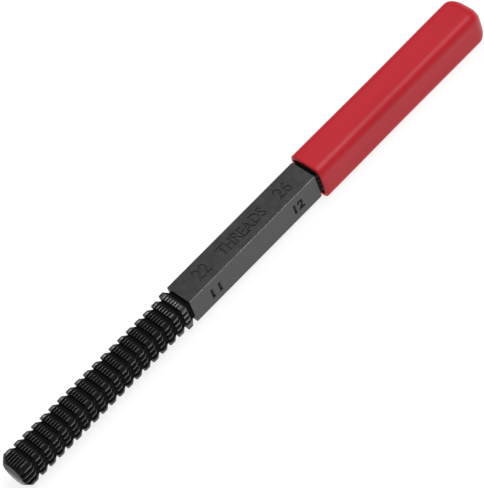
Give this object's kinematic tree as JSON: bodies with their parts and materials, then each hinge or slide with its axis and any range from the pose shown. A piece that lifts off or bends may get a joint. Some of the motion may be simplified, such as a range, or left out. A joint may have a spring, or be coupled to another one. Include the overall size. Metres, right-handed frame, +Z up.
{
  "type": "thread restoring file",
  "caption": "Square steel bar with grooved, gulleted cutting faces at both ends for re-cutting damaged threads, and a pull-off vinyl grip sleeve over one end.",
  "frame": {"origin": "on the surface the sleeve lies on, under the middle of the whole object", "axes": "+X along the bar towards the sleeve's closed end, +Z up out of the stamped face, +Y to the left when looking along +X"},
  "size_m": [0.2154, 0.0138, 0.0139],
  "materials": {
    "black_steel": "black oxide over ground hardened steel, satin",
    "red_vinyl": "dip-moulded vinyl, soft semi-gloss"
  },
  "bodies": {
    "bar": {"file_bar": "black_steel"},
    "sleeve": {"grip_sleeve": "red_vinyl"}
  },
  "joints": [
    {"name": "sleeve_pull", "type": "slide", "parent": "bar", "child": "sleeve", "axis": [1, 0, 0], "range_m": [0, 0.08]}
  ]
}
